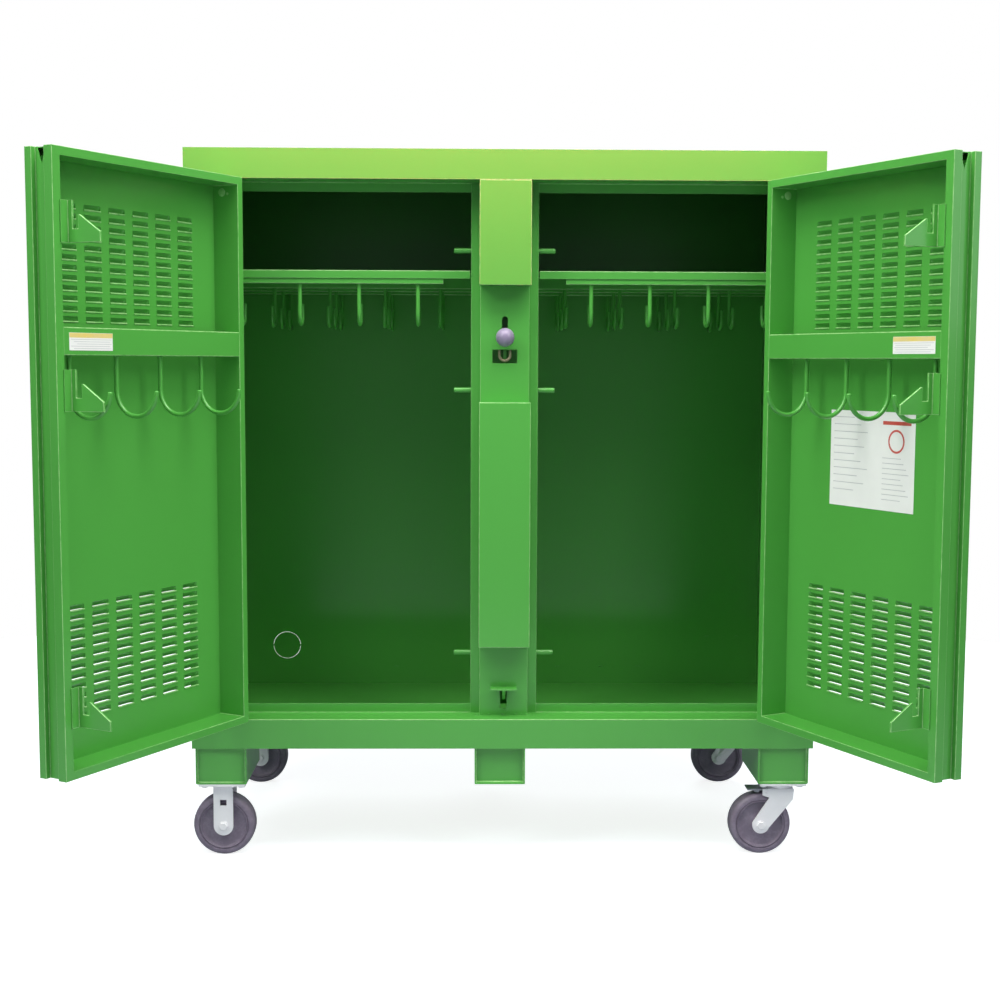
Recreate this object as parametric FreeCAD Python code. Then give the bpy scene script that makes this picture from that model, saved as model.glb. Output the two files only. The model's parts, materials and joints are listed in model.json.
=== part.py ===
import FreeCAD, Part
import math
import os

# Rolling jobsite storage cabinet with two louvred doors, both standing open.
# All lengths are in millimetres. While the pieces are drawn, X runs along the
# front from the middle, Y runs back from the front plane and Z up from the floor.
# At the end every piece is moved so that the origin is under the middle of the
# whole object.

V = FreeCAD.Vector
INCH = 25.4

# ---- body ----
BODY_W = 60 * INCH
BODY_D = 30 * INCH
BODY_Z0 = 276.0             # underside of the floor panel
BODY_Z1 = 1721.0            # top of the roof
SHEET = 2.0                 # walls and roof
PLATE = 3.0                 # frame members and floor
HALF_W = BODY_W / 2

# ---- front frame ----
OPEN_X = 686.0              # jamb edge, from the middle
OPEN_Z0 = 349.0             # top of the sill
OPEN_Z1 = 1650.0            # underside of the header
STOP_Y = 79.0               # front of the stop flanges the doors close against
STOP_H = 22.0               # how far the stop flanges stand into the opening

# ---- centre post ----
POST_X = 59.0               # half width of the post tube
POST_Y0 = 50.0              # recessed face
POST_Y1 = 180.0
COVER_X = 62.0              # half width of the raised covers
FLANGE_X = 82.0             # outer edge of the post's stop flanges
UPPER_COVER_Z = (1403.0, 1650.0)
LOWER_COVER_Z = (527.0, 1123.0)
KNOB_SLOT_Z = (1272.0, 1330.0)
KNOB_SLOT_R = 7.0
WINDOW_X = 30.0
WINDOW_Z = (1217.0, 1250.0)
PEDAL_SLOT_Z = (365.0, 412.0)
PEDAL_SLOT_X = 8.0

# ---- lock bar ----
PIN_Y = 100.0
PIN_Z = (497.0, 1151.0, 1490.0)
PIN_R = 6.35
PIN_HALF = 124.0
BAR_X = 15.0
BAR_T = 20.0
BAR_Z = (425.0, 1560.0)
LOCK_LIFT = 31.6            # rise of the bar when the pedal is fully down
KNOB_R = 22.5
KNOB_Y = 22.0
KNOB_Z = 1279.0
PIVOT_Y = 79.0
PIVOT_Z = 415.0
PIVOT_R = 5.0

# ---- doors, drawn closed with the hinge axis on the Z axis ----
HINGE_X = 684.0
HINGE_Y = -2.0
LEFT_OPEN = 119.0           # degrees
RIGHT_OPEN = 116.0
DOOR_S = (4.0, 616.0)       # along the door, from the hinge axis
DOOR_E = (7.0, 80.0)        # through the door, from the hinge axis
DOOR_Z = (353.0, 1646.0)
RIM = 18.0                  # width of the boxed rim
PULL_RIM = 22.0             # width of the rim at the free edge
GROOVE_E = (24.5, 58.0)     # the finger groove down the free edge, in the door's own depth
BARREL_R = 8.0
HINGE_Z = (480.0, 1000.0, 1520.0)
HINGE_H = 100.0
LOUVRE_W = 50.0
LOUVRE_H = 5.0
LOUVRE_S0 = 128.0
LOUVRE_DS = 75.0
LOUVRE_DZ = 21.3
LOUVRE_Z0 = (457.0, 1301.0)
LOUVRE_COLUMNS = 6
LOUVRE_ROWS = 12
RAIL_Z = (1230.0, 1287.0)
DOOR_HOOK_S = (140.0, 280.0, 420.0, 560.0)
DOOR_HOOK_E = 60.0
DOOR_HOOK_R = 54.5
ROD_R = 5.0
CATCH_S = 573.0

# ---- shelves and their hooks ----
SHELF_Z = 1441.0
SHELF_Y0 = 85.0
RAIL_UNDER_Z = 1409.0
HOOK_ROWS = ((100.0, 1, (212.0, 356.0, 500.0, 644.0)),
             (350.0, -1, (162.0, 306.0, 450.0, 594.0)),
             (530.0, -1, (162.0, 306.0, 450.0, 594.0)),
             (715.0, -1, (162.0, 306.0, 450.0, 594.0)))
HOOK_U_R = 28.0
HOOK_U_Z = 1339.0
HOOK_TIP_Z = 1362.0

# ---- feet and casters ----
FOOT_W = 124.0
FOOT_D = 228.0
FOOT_Z0 = 186.0
FOOT_X = (-692.0, -9.0, 690.0)
CASTER_X = 691.0
CASTER_Y = (54.0, 708.0)
WHEEL_R = 3 * INCH
WHEEL_W = 2 * INCH
TRAIL = 50.0
AXLE_R = 6.35
PLATE_X = 114.0
PLATE_Y = 102.0

pieces = {}


def box(x0, x1, y0, y1, z0, z1):
    return Part.makeBox(x1 - x0, y1 - y0, z1 - z0, V(x0, y0, z0))


def rod(p, q, r):
    """A round bar from point p to point q."""
    a, b = V(*p), V(*q)
    return Part.makeCylinder(r, (b - a).Length, a, b - a)


def plate_xz(points, y0, y1):
    """A flat plate with its outline in the XZ plane."""
    wire = Part.makePolygon([V(x, y0, z) for x, z in points] + [V(points[0][0], y0, points[0][1])])
    return Part.Face(wire).extrude(V(0, y1 - y0, 0))


def plate_yz(points, x0, x1):
    """A flat plate with its outline in the YZ plane."""
    wire = Part.makePolygon([V(x0, y, z) for y, z in points] + [V(x0, points[0][0], points[0][1])])
    return Part.Face(wire).extrude(V(x1 - x0, 0, 0))


def join(*shapes):
    return shapes[0].multiFuse(list(shapes[1:])).removeSplitter()


def less(shape, *tools):
    return shape.cut(list(tools))


def both(shape):
    """The shape and its mirror image across the middle of the cabinet."""
    return [shape, shape.mirror(V(0, 0, 0), V(1, 0, 0))]


def moved(shape, x, y, z):
    copy = shape.copy()
    copy.translate(V(x, y, z))
    return copy


def slot_x(y, z0, z1, r, x0, x1):
    """A round-ended slot through a wall that faces X."""
    return join(box(x0, x1, y - r, y + r, z0, z1), rod((x0, y, z0), (x1, y, z0), r),
                rod((x0, y, z1), (x1, y, z1), r))


# ================= body shell =================
left_side = box(-HALF_W, -HALF_W + SHEET, PLATE, BODY_D, BODY_Z0, BODY_Z1)
pieces["left_side_panel"] = left_side
pieces["right_side_panel"] = both(left_side)[1]

WALL_X = HALF_W - SHEET     # inner faces of the side panels
WALL_Y = BODY_D - SHEET     # inner face of the back panel
KNOCKOUT_X = -620.0         # a cable knock-out low in the back panel
KNOCKOUT_Z = 392.0
KNOCKOUT_R = 38.5           # middle of its cut line
CUT_HALF = 1.0              # half the width of that line
BRIDGE_HALF = 2.5           # half the width of the two webs that still hold the disc
back = box(-WALL_X, WALL_X, WALL_Y, BODY_D, BODY_Z0, BODY_Z1)
knockout_axis = ((KNOCKOUT_X, WALL_Y, KNOCKOUT_Z), (KNOCKOUT_X, BODY_D, KNOCKOUT_Z))
ring = less(rod(*knockout_axis, KNOCKOUT_R + CUT_HALF), rod(*knockout_axis, KNOCKOUT_R - CUT_HALF))
bridges = [box(x - 2 * CUT_HALF, x + 2 * CUT_HALF, WALL_Y, BODY_D, KNOCKOUT_Z - BRIDGE_HALF, KNOCKOUT_Z + BRIDGE_HALF)
           for x in (KNOCKOUT_X - KNOCKOUT_R, KNOCKOUT_X + KNOCKOUT_R)]
pieces["back_panel"] = less(back, less(ring, *bridges))
pieces["roof_panel"] = box(-WALL_X, WALL_X, PLATE, WALL_Y, BODY_Z1 - SHEET, BODY_Z1)
pieces["floor_panel"] = box(-WALL_X, WALL_X, PLATE, WALL_Y, BODY_Z0, BODY_Z0 + PLATE)

# ================= front frame =================
STOP = (STOP_Y, STOP_Y + PLATE)
STOP_X = OPEN_X - STOP_H
header_stop = box(-STOP_X, -FLANGE_X, *STOP, OPEN_Z1 - STOP_H, OPEN_Z1 + PLATE)
pieces["header_beam"] = join(
    box(-HALF_W, HALF_W, 0, PLATE, OPEN_Z1, BODY_Z1),
    box(-WALL_X, WALL_X, PLATE, STOP[1], OPEN_Z1, OPEN_Z1 + PLATE),
    *both(header_stop))
sill_stop = box(-STOP_X, -FLANGE_X, *STOP, BODY_Z0 + PLATE, OPEN_Z0 + STOP_H)
pieces["sill_beam"] = join(
    box(-HALF_W, HALF_W, 0, PLATE, BODY_Z0, OPEN_Z0),
    box(-WALL_X, WALL_X, PLATE, STOP[1], OPEN_Z0 - PLATE, OPEN_Z0),
    box(-WALL_X, WALL_X, *STOP, BODY_Z0 + PLATE, OPEN_Z0),
    *both(sill_stop))
jamb = join(
    box(-HALF_W, -OPEN_X, 0, PLATE, OPEN_Z0, OPEN_Z1),
    box(-OPEN_X - PLATE, -OPEN_X, PLATE, STOP[1], OPEN_Z0, OPEN_Z1),
    box(-OPEN_X - PLATE, -STOP_X, *STOP, OPEN_Z0, OPEN_Z1),
    box(-WALL_X, -OPEN_X, *STOP, OPEN_Z0, OPEN_Z1))
barrel_room = [rod((-HINGE_X, HINGE_Y, z - HINGE_H / 2 - 2), (-HINGE_X, HINGE_Y, z + HINGE_H / 2 + 6),
                   BARREL_R + 0.6) for z in HINGE_Z]
jamb = less(jamb, *barrel_room)
pieces["left_jamb"], pieces["right_jamb"] = both(jamb)

# ================= centre post =================
post = less(box(-POST_X, POST_X, POST_Y0, POST_Y1, OPEN_Z0, OPEN_Z1),
            box(-POST_X + PLATE, POST_X - PLATE, POST_Y0 + PLATE, POST_Y1 - PLATE, OPEN_Z0, OPEN_Z1))
flange = join(box(-FLANGE_X, -POST_X, *STOP, OPEN_Z0, OPEN_Z1),
              box(-FLANGE_X, -FLANGE_X + PLATE, STOP[1], STOP[1] + 8, OPEN_Z0, OPEN_Z1))
post = join(post, *both(flange))
pin_slots = [slot_x(PIN_Y, z, z + LOCK_LIFT + 3, PIN_R + 0.8, -POST_X - 1, POST_X + 1) for z in PIN_Z]
FACE = (POST_Y0 - 1, POST_Y0 + PLATE + 1)
knob_slot = join(
    box(-KNOB_SLOT_R, KNOB_SLOT_R, *FACE, KNOB_SLOT_Z[0], KNOB_SLOT_Z[1] - KNOB_SLOT_R),
    rod((0, FACE[0], KNOB_SLOT_Z[0]), (0, FACE[1], KNOB_SLOT_Z[0]), KNOB_SLOT_R),
    rod((0, FACE[0], KNOB_SLOT_Z[1] - KNOB_SLOT_R), (0, FACE[1], KNOB_SLOT_Z[1] - KNOB_SLOT_R), KNOB_SLOT_R))
pivot_holes = rod((-POST_X - 1, PIVOT_Y, PIVOT_Z), (POST_X + 1, PIVOT_Y, PIVOT_Z), PIVOT_R)
pieces["center_post"] = less(
    post, *pin_slots, knob_slot, pivot_holes,
    box(-WINDOW_X, WINDOW_X, *FACE, *WINDOW_Z),
    box(-PEDAL_SLOT_X, PEDAL_SLOT_X, *FACE, *PEDAL_SLOT_Z))


def post_cover(z0, z1):
    """A folded box that stands in front of the post, closed at both ends."""
    shell = less(box(-COVER_X, COVER_X, 0, POST_Y0 + 20, z0, z1),
                 box(-COVER_X + PLATE, COVER_X - PLATE, PLATE, POST_Y0 + 21, z0 + PLATE, z1 - PLATE))
    return less(shell, box(-POST_X, POST_X, POST_Y0, POST_Y0 + 21, z0 - 1, z1 + 1))


pieces["post_upper_cover"] = post_cover(*UPPER_COVER_Z)
pieces["post_lower_cover"] = post_cover(*LOWER_COVER_Z)

# ================= shelves, rails and hooks =================
POST_BACK = POST_Y1 + 4
left_shelf = join(
    box(-WALL_X, -FLANGE_X - 3, SHELF_Y0, POST_BACK, SHELF_Z - SHEET, SHELF_Z),
    box(-WALL_X, -1, POST_BACK, WALL_Y, SHELF_Z - SHEET, SHELF_Z),
    box(-WALL_X, -FLANGE_X - 3, SHELF_Y0, SHELF_Y0 + SHEET, SHELF_Z - 19, SHELF_Z))
pieces["left_shelf"], pieces["right_shelf"] = both(left_shelf)

rails = []
hooks = []
UNDER = SHELF_Z - SHEET
for row_y, toward, hook_x in HOOK_ROWS:
    inner = -150.0 if row_y < POST_BACK else -1.0
    rail = join(box(-WALL_X, inner, row_y - 12, row_y + 12, RAIL_UNDER_Z, RAIL_UNDER_Z + PLATE),
                box(-WALL_X, inner, row_y - 12, row_y - 12 + PLATE, RAIL_UNDER_Z, UNDER))
    rails += both(rail)
    for x in hook_x:
        tip_y = row_y + toward * 2 * HOOK_U_R
        mid_y = row_y + toward * HOOK_U_R
        bend = Part.makeTorus(HOOK_U_R, ROD_R, V(x, mid_y, HOOK_U_Z), V(1, 0, 0))
        bend = bend.common(box(x - 10, x + 10, mid_y - 60, mid_y + 60, HOOK_U_Z - 60, HOOK_U_Z))
        hook = join(rod((x, row_y, HOOK_U_Z), (x, row_y, RAIL_UNDER_Z), ROD_R), bend,
                    rod((x, tip_y, HOOK_U_Z), (x, tip_y, HOOK_TIP_Z), ROD_R))
        hooks += both(hook)
pieces["hook_rails"] = Part.makeCompound(rails)
pieces["shelf_hooks"] = Part.makeCompound(hooks)


# ================= feet =================
def foot(x, y0, y1, recess):
    """A folded channel with an end plate set back from its front edges."""
    half = FOOT_W / 2
    plate_y = y0 + recess
    channel = less(box(x - half, x + half, y0, y1, FOOT_Z0, BODY_Z0),
                   box(x - half + PLATE, x + half - PLATE, y0 - 1, y1 + 1, FOOT_Z0 + PLATE, BODY_Z0 + 1))
    end = box(x - half + PLATE, x + half - PLATE, plate_y, plate_y + PLATE, FOOT_Z0 + PLATE, BODY_Z0)
    return join(channel, end)


FRONT_FOOT = (PLATE, PLATE + FOOT_D)
REAR_FOOT = (WALL_Y - FOOT_D, WALL_Y)
BOLT_X = 45.0
BOLT_Y = 30.0
BOLT_R = 5.0
caster_spots = [(x, y) for x in (-CASTER_X, CASTER_X) for y in CASTER_Y]
bolt_spots = [(x + i * BOLT_X, y + j * BOLT_Y) for x, y in caster_spots for i in (-1, 1) for j in (-1, 1)]
bolt_holes = [rod((x, y, FOOT_Z0 - 20), (x, y, FOOT_Z0 + 20), BOLT_R) for x, y in bolt_spots]
END_RECESS = (8.0, 15.0, 8.0)       # the corner feet need room behind the plate for the caster nuts
front_feet = [foot(x, *FRONT_FOOT, recess) for x, recess in zip(FOOT_X, END_RECESS)]
rear_feet = [foot(x, *REAR_FOOT, recess) for x, recess in zip(FOOT_X, END_RECESS)]
pieces["front_feet"] = Part.makeCompound([less(part, *bolt_holes) for part in front_feet])
pieces["rear_feet"] = Part.makeCompound([less(part, *bolt_holes) for part in rear_feet])


# ================= hinges =================
def leaf_and_knuckles(spans, x0, x1, y0, y1, z):
    """One hinge leaf with its share of the barrel, about an axis at the origin."""
    leaf = box(x0, x1, y0, y1, z - HINGE_H / 2, z + HINGE_H / 2)
    leaf = less(leaf, rod((0, 0, z - HINGE_H), (0, 0, z + HINGE_H), BARREL_R + 0.6))
    parts = [leaf]
    for a, b in spans:
        parts.append(rod((0, 0, z + a), (0, 0, z + b), BARREL_R))
        parts.append(box(min(0, x0, x1) if x0 < 0 else 0, 0 if x0 < 0 else max(x0, x1), y0, y1, z + a, z + b))
    return less(join(*parts), rod((0, 0, z - HINGE_H), (0, 0, z + HINGE_H), 4.05))


KNUCKLE_END = HINGE_H / 2
KNUCKLE_MID = 17.0
frame_spans = ((-KNUCKLE_END, -KNUCKLE_MID), (KNUCKLE_MID, KNUCKLE_END))
door_spans = ((-KNUCKLE_MID + 0.3, KNUCKLE_MID - 0.3),)
frame_leaves = []
hinge_pins = []
for z in HINGE_Z:
    leaf = leaf_and_knuckles(frame_spans, -32.0, -BARREL_R - 1, -1.0, 2.0, z)
    frame_leaves += both(moved(leaf, -HINGE_X, HINGE_Y, 0))
    pin = join(rod((0, 0, z - KNUCKLE_END - 1), (0, 0, z + KNUCKLE_END), 4.0),
               rod((0, 0, z + KNUCKLE_END), (0, 0, z + KNUCKLE_END + 4), 6.5))
    hinge_pins += both(moved(pin, -HINGE_X, HINGE_Y, 0))
pieces["frame_hinge_leaves"] = Part.makeCompound(frame_leaves)
pieces["hinge_pins"] = Part.makeCompound(hinge_pins)

# ================= doors =================
S0, S1 = DOOR_S
E0, E1 = DOOR_E
Z0, Z1 = DOOR_Z
louvres = []
for z0 in LOUVRE_Z0:
    for i in range(LOUVRE_COLUMNS):
        for j in range(LOUVRE_ROWS):
            s = LOUVRE_S0 + i * LOUVRE_DS
            z = z0 + j * LOUVRE_DZ
            louvres.append(box(s - LOUVRE_W / 2, s + LOUVRE_W / 2, E0 - 1, E0 + SHEET + 1, z, z + LOUVRE_H))
notches = [rod((0, 0, z - HINGE_H / 2 - 2), (0, 0, z + HINGE_H / 2 + 6), BARREL_R + 0.6) for z in HINGE_Z]
skin = less(box(S0, S1, E0, E0 + SHEET, Z0, Z1), *louvres, *notches)

# The rim is a boxed channel all round, open to the skin it is welded to.
BACK = E0 + SHEET
rim = less(box(S0, S1, BACK, E1, Z0, Z1),
           box(S0 + RIM, S1 - PULL_RIM, BACK - 1, E1 + 1, Z0 + RIM, Z1 - RIM))
hollow = less(box(S0 + SHEET, S1 - 14, BACK - 1, E1 - SHEET, Z0 + SHEET, Z1 - SHEET),
              box(S0 + RIM - SHEET, S1 - PULL_RIM - SHEET, BACK - 2, E1 + 1, Z0 + RIM - SHEET, Z1 - RIM + SHEET))
pull = box(S1 - 12, S1 + 1, *GROOVE_E, Z0 - 1, Z1 + 1)
front_pocket = box(S1 - 14, S1 - SHEET, BACK - 1, GROOVE_E[0] - SHEET, Z0 + SHEET, Z1 - SHEET)
back_pocket = box(S1 - 14, S1 - SHEET, GROOVE_E[1] + SHEET, E1 - SHEET, Z0 + SHEET, Z1 - SHEET)
rim = less(rim, hollow, pull, front_pocket, back_pocket, *notches)

RAIL = (S0 + RIM, S1 - PULL_RIM)
door_rail = join(box(*RAIL, E1 - SHEET, E1, *RAIL_Z),
                 box(*RAIL, E1 - 40, E1, RAIL_Z[1] - SHEET, RAIL_Z[1]),
                 box(*RAIL, E1 - 40, E1, RAIL_Z[0], RAIL_Z[0] + SHEET))

door_hooks = []
HOOK_CENTER_Z = 1156.5
for s in DOOR_HOOK_S:
    mid_e = DOOR_HOOK_E + DOOR_HOOK_R
    bend = Part.makeTorus(DOOR_HOOK_R, ROD_R, V(s, mid_e, HOOK_CENTER_Z), V(1, 0, 0))
    bend = bend.common(box(s - 10, s + 10, mid_e - 80, mid_e + 80, HOOK_CENTER_Z - 80, HOOK_CENTER_Z))
    door_hooks.append(join(rod((s, DOOR_HOOK_E, HOOK_CENTER_Z), (s, DOOR_HOOK_E, RAIL_Z[0]), ROD_R), bend))

# Each catch is a plate across the lock pin: a foot, a notch open at the top and a
# nose whose slope lifts the pin as the door shuts.
door_catches = []
NOTCH_E = PIN_Y - HINGE_Y
for z in PIN_Z:
    outline = [(E1, z - 35), (E1, z + 50), (NOTCH_E - 7.5, z + 50), (NOTCH_E - 7.5, z - 7),
               (NOTCH_E + 7.5, z - 7), (NOTCH_E + 7.5, z + 21), (NOTCH_E + 12, z + 21), (NOTCH_E + 65, z - 14),
               (NOTCH_E + 66, z - 35)]
    catch = plate_yz(outline, CATCH_S, CATCH_S + 5)
    catch = join(catch, box(CATCH_S, CATCH_S + 25, E1, E1 + 3, z - 35, z + 50))
    door_catches.append(catch)

door_leaves = [leaf_and_knuckles(door_spans, BARREL_R + 1, 34.0, E0 - 3.0, E0, z) for z in HINGE_Z]
label = box(452, 579, E1, E1 + 0.4, 1240, 1276)
sheet = box(170, 450, BACK, BACK + 0.4, 896, 1114)

door = {
    "door_skin": skin,
    "door_rim": rim,
    "door_mid_rail": door_rail,
    "door_hooks": Part.makeCompound(door_hooks),
    "door_catches": Part.makeCompound(door_catches),
    "door_hinge_leaves": Part.makeCompound(door_leaves),
    "door_rail_label": label,
}


def opened(shape, side):
    """A closed door piece, put on its hinge and swung open."""
    copy = shape.copy()
    if side == "left":
        copy.rotate(V(0, 0, 0), V(0, 0, 1), -LEFT_OPEN)
        copy.translate(V(-HINGE_X, HINGE_Y, 0))
        return copy
    copy = copy.mirror(V(0, 0, 0), V(1, 0, 0))
    copy.rotate(V(0, 0, 0), V(0, 0, 1), RIGHT_OPEN)
    copy.translate(V(HINGE_X, HINGE_Y, 0))
    return copy


for side in ("left", "right"):
    for name, shape in door.items():
        pieces[f"{side}_{name}"] = opened(shape, side)
pieces["right_door_document_sheet"] = opened(sheet, "right")

# ================= lock bar, knob and pins =================
BAR_Y = (PIN_Y - BAR_T / 2, PIN_Y + BAR_T / 2)
cross_pins = [rod((-PIN_HALF, PIN_Y, z), (PIN_HALF, PIN_Y, z), PIN_R) for z in PIN_Z]
pieces["lock_cross_pins"] = Part.makeCompound(cross_pins)
bar = box(-BAR_X, BAR_X, *BAR_Y, *BAR_Z)
LUG_Z = 405.3
cheek = box(-BAR_X, -6, BAR_Y[0] + 2, PIN_Y + 58, LUG_Z, BAR_Z[0] + 10)
lug = box(-BAR_X, BAR_X, PIN_Y + 41, PIN_Y + 58, LUG_Z, LUG_Z + 6)
hasp = less(box(-4, 4, 66, BAR_Y[0], WINDOW_Z[0] + 2, WINDOW_Z[1] - 2),
            rod((-5, 75, 1233), (5, 75, 1233), 5.5))
stem = rod((0, KNOB_Y, KNOB_Z), (0, BAR_Y[0] + 1, KNOB_Z), 5.0)
bar = less(join(bar, *both(cheek), lug, hasp, stem), *cross_pins, Part.makeSphere(KNOB_R, V(0, KNOB_Y, KNOB_Z)))
pieces["lock_bar"] = bar
pieces["lock_knob"] = Part.makeSphere(KNOB_R, V(0, KNOB_Y, KNOB_Z))

guide_plates = [less(box(-POST_X + PLATE, POST_X - PLATE, POST_Y0 + PLATE, POST_Y1 - PLATE, z, z + PLATE),
                     box(-BAR_X - 0.5, BAR_X + 0.5, BAR_Y[0] - 0.5, BAR_Y[1] + 0.5, z - 1, z + PLATE + 1))
                for z in (700.0, 1535.0)]
pieces["lock_bar_guides"] = Part.makeCompound(guide_plates)

BOX_WALL = 2.5
BOX_BACK = 86.0
lock_box = less(box(-WINDOW_X - BOX_WALL, WINDOW_X + BOX_WALL, POST_Y0 + PLATE, BOX_BACK,
                    WINDOW_Z[0] - BOX_WALL, WINDOW_Z[1] + BOX_WALL),
                box(-WINDOW_X, WINDOW_X, POST_Y0, BOX_BACK - BOX_WALL, *WINDOW_Z),
                box(-7, 7, BOX_BACK - 5, BOX_BACK + 1, WINDOW_Z[0], WINDOW_Z[1] + 6),
                box(-7, 7, 62, BOX_BACK + 1, WINDOW_Z[1] - 4, WINDOW_Z[1] + 6))
pieces["padlock_box"] = lock_box
staple_bend = Part.makeTorus(13, 3.5, V(0, 58.5, 1236), V(0, 1, 0))
staple_bend = staple_bend.common(box(-20, 20, 50, 70, 1210, 1236))
pieces["padlock_staple"] = join(staple_bend,
                                rod((-13, 58.5, 1236), (-13, 58.5, WINDOW_Z[1]), 3.5),
                                rod((13, 58.5, 1236), (13, 58.5, WINDOW_Z[1]), 3.5))

# ================= foot pedal =================
lever_outline = [(14, 418), (47, 418), (47, 411), (60, 411), (72, 424), (84, 424), (90, 417), (136, 404.8),
                 (147, 405), (150.5, 403), (150.5, 396), (144, 393), (88, 403), (70, 400), (50, 388), (20, 408)]
lever = plate_yz(lever_outline, -4, 4)
boss = rod((-9, PIVOT_Y, PIVOT_Z), (9, PIVOT_Y, PIVOT_Z), 11.5)
tread = box(-32, 32, 12, 44, 418, 422)
pivot_bore = rod((-10, PIVOT_Y, PIVOT_Z), (10, PIVOT_Y, PIVOT_Z), PIVOT_R + 0.05)
pieces["foot_pedal"] = less(join(lever, boss, tread), pivot_bore)
pieces["pedal_pivot_pin"] = rod((-POST_X, PIVOT_Y, PIVOT_Z), (POST_X, PIVOT_Y, PIVOT_Z), PIVOT_R)


# ================= casters =================
def wheel(x, y):
    """Solid tyre and hub, turned about an axle along Y."""
    half = WHEEL_W / 2
    bore = AXLE_R + 0.05
    profile = [(bore, half), (17, half), (19, half - 5), (30, half - 8), (54, half - 6), (57, half),
               (58.5, half), (59, half - 3), (61, half - 3), (61.5, half), (68, half), (74.5, half - 5),
               (WHEEL_R, half - 11)]
    outline = profile + [(r, -h) for r, h in reversed(profile)]
    wire = Part.makePolygon([V(r, h, 0) for r, h in outline] + [V(outline[0][0], outline[0][1], 0)])
    turned = Part.Face(wire).revolve(V(0, 0, 0), V(0, 1, 0), 360)
    return moved(turned, x, y, WHEEL_R)


def axle(x, y, reach):
    """Axle bolt with a hexagon head in front and a nut behind."""
    shaft = rod((x, y - reach, WHEEL_R), (x, y + reach, WHEEL_R), AXLE_R)
    head = Part.makeCylinder(9.5, 6, V(x, y - reach - 6, WHEEL_R), V(0, 1, 0))
    nut = Part.makeCylinder(9.5, 8, V(x, y + reach, WHEEL_R), V(0, 1, 0))
    return join(shaft, head, nut)


LEG_IN = WHEEL_W / 2 + 2.6
LEG_T = 5.0
LEG_OUT = LEG_IN + LEG_T
TOP_Z = FOOT_Z0 - 6
rigid_forks = []
rigid_axles = []
for k, y in enumerate(CASTER_Y):
    x = -CASTER_X
    plate = box(x - PLATE_X / 2, x + PLATE_X / 2, y - PLATE_Y / 2, y + PLATE_Y / 2, TOP_Z, FOOT_Z0)
    bridge = box(x - 24, x + 24, y - LEG_OUT, y + LEG_OUT, TOP_Z - 5, TOP_Z)
    legs = []
    for a, b in ((-LEG_OUT, -LEG_IN), (LEG_IN, LEG_OUT)):
        legs.append(box(x - 24, x + 24, y + a, y + b, WHEEL_R, TOP_Z))
        legs.append(rod((x, y + a, WHEEL_R), (x, y + b, WHEEL_R), 24))
    window = box(x - 8, x + 8, y - LEG_OUT - 1, y + LEG_OUT + 1, 127, 142)
    hole = rod((x, y - 50, WHEEL_R), (x, y + 50, WHEEL_R), AXLE_R)
    rigid_forks.append(less(join(plate, bridge, *legs), window, hole, *bolt_holes))
    rigid_axles.append(axle(x, y, LEG_OUT))
    pieces[("front", "rear")[k] + "_rigid_wheel"] = wheel(x, y)
pieces["rigid_caster_forks"] = Part.makeCompound(rigid_forks)
pieces["rigid_caster_axles"] = Part.makeCompound(rigid_axles)

RACE_Z = 168.0
KINGPIN_R = 7.0
swivel_plates = []
for k, y in enumerate(CASTER_Y):
    end = ("front", "rear")[k]
    x = CASTER_X
    wheel_x = x - TRAIL
    plate = box(x - PLATE_X / 2, x + PLATE_X / 2, y - PLATE_Y / 2, y + PLATE_Y / 2, TOP_Z, FOOT_Z0)
    race = Part.makeCylinder(33, TOP_Z - RACE_Z, V(x, y, RACE_Z))
    kingpin = rod((x, y, 152), (x, y, RACE_Z), KINGPIN_R)
    pin_head = Part.makeCylinder(12, 5, V(x, y, 147))
    swivel_plates.append(less(join(plate, race, kingpin, pin_head), *bolt_holes))

    crown = box(x - 32, x + 31, y - LEG_OUT, y + LEG_OUT, RACE_Z - 6, RACE_Z - 0.3)
    crown_bore = rod((x, y, RACE_Z - 10), (x, y, RACE_Z), KINGPIN_R + 0.05)
    leg_outline = [(x + 31, RACE_Z - 0.3), (x - 47, RACE_Z - 0.3), (x - 47, 152), (x - 30, 146),
                   (wheel_x - 21, 82), (wheel_x - 21, WHEEL_R), (wheel_x + 19, WHEEL_R - 8), (x + 29, 142)]
    legs = []
    for a, b in ((-LEG_OUT, -LEG_IN), (LEG_IN, LEG_OUT)):
        legs.append(plate_xz(leg_outline, y + a, y + b))
        legs.append(rod((wheel_x, y + a, WHEEL_R), (wheel_x, y + b, WHEEL_R), 21))
    brake_pin = rod((x - 39, y - LEG_OUT - 1, 160), (x - 39, y + LEG_OUT + 1, 160), 3)
    hole = rod((wheel_x, y - 50, WHEEL_R), (wheel_x, y + 50, WHEEL_R), AXLE_R)
    pieces[end + "_swivel_fork"] = less(join(crown, *legs, brake_pin), hole, crown_bore)
    pieces[end + "_swivel_axle"] = axle(wheel_x, y, LEG_OUT)
    pieces[end + "_swivel_wheel"] = wheel(wheel_x, y)

    px = x - 39
    pedal_boss = rod((px, y - LEG_IN + 0.5, 160), (px, y + LEG_IN - 0.5, 160), 5)
    tread_plate = box(px - 44, px, y - 20, y + 20, 161, 165)
    shoe = box(px - 26, px - 14, y - 18, y + 18, 156, 161)
    brake_bore = rod((px, y - 40, 160), (px, y + 40, 160), 3.05)
    pieces[end + "_brake_pedal"] = less(join(pedal_boss, tread_plate, shoe), brake_bore)
pieces["swivel_plates"] = Part.makeCompound(swivel_plates)

bolts = []
for x, y in bolt_spots:
    head = Part.makeCylinder(8.5, 6.4, V(x, y, TOP_Z - 6.4))
    nut = Part.makeCylinder(8.5, 8, V(x, y, FOOT_Z0 + PLATE))
    bolts.append(join(head, rod((x, y, TOP_Z), (x, y, FOOT_Z0 + PLATE + 12), BOLT_R), nut))
pieces["caster_bolts"] = Part.makeCompound(bolts)

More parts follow.
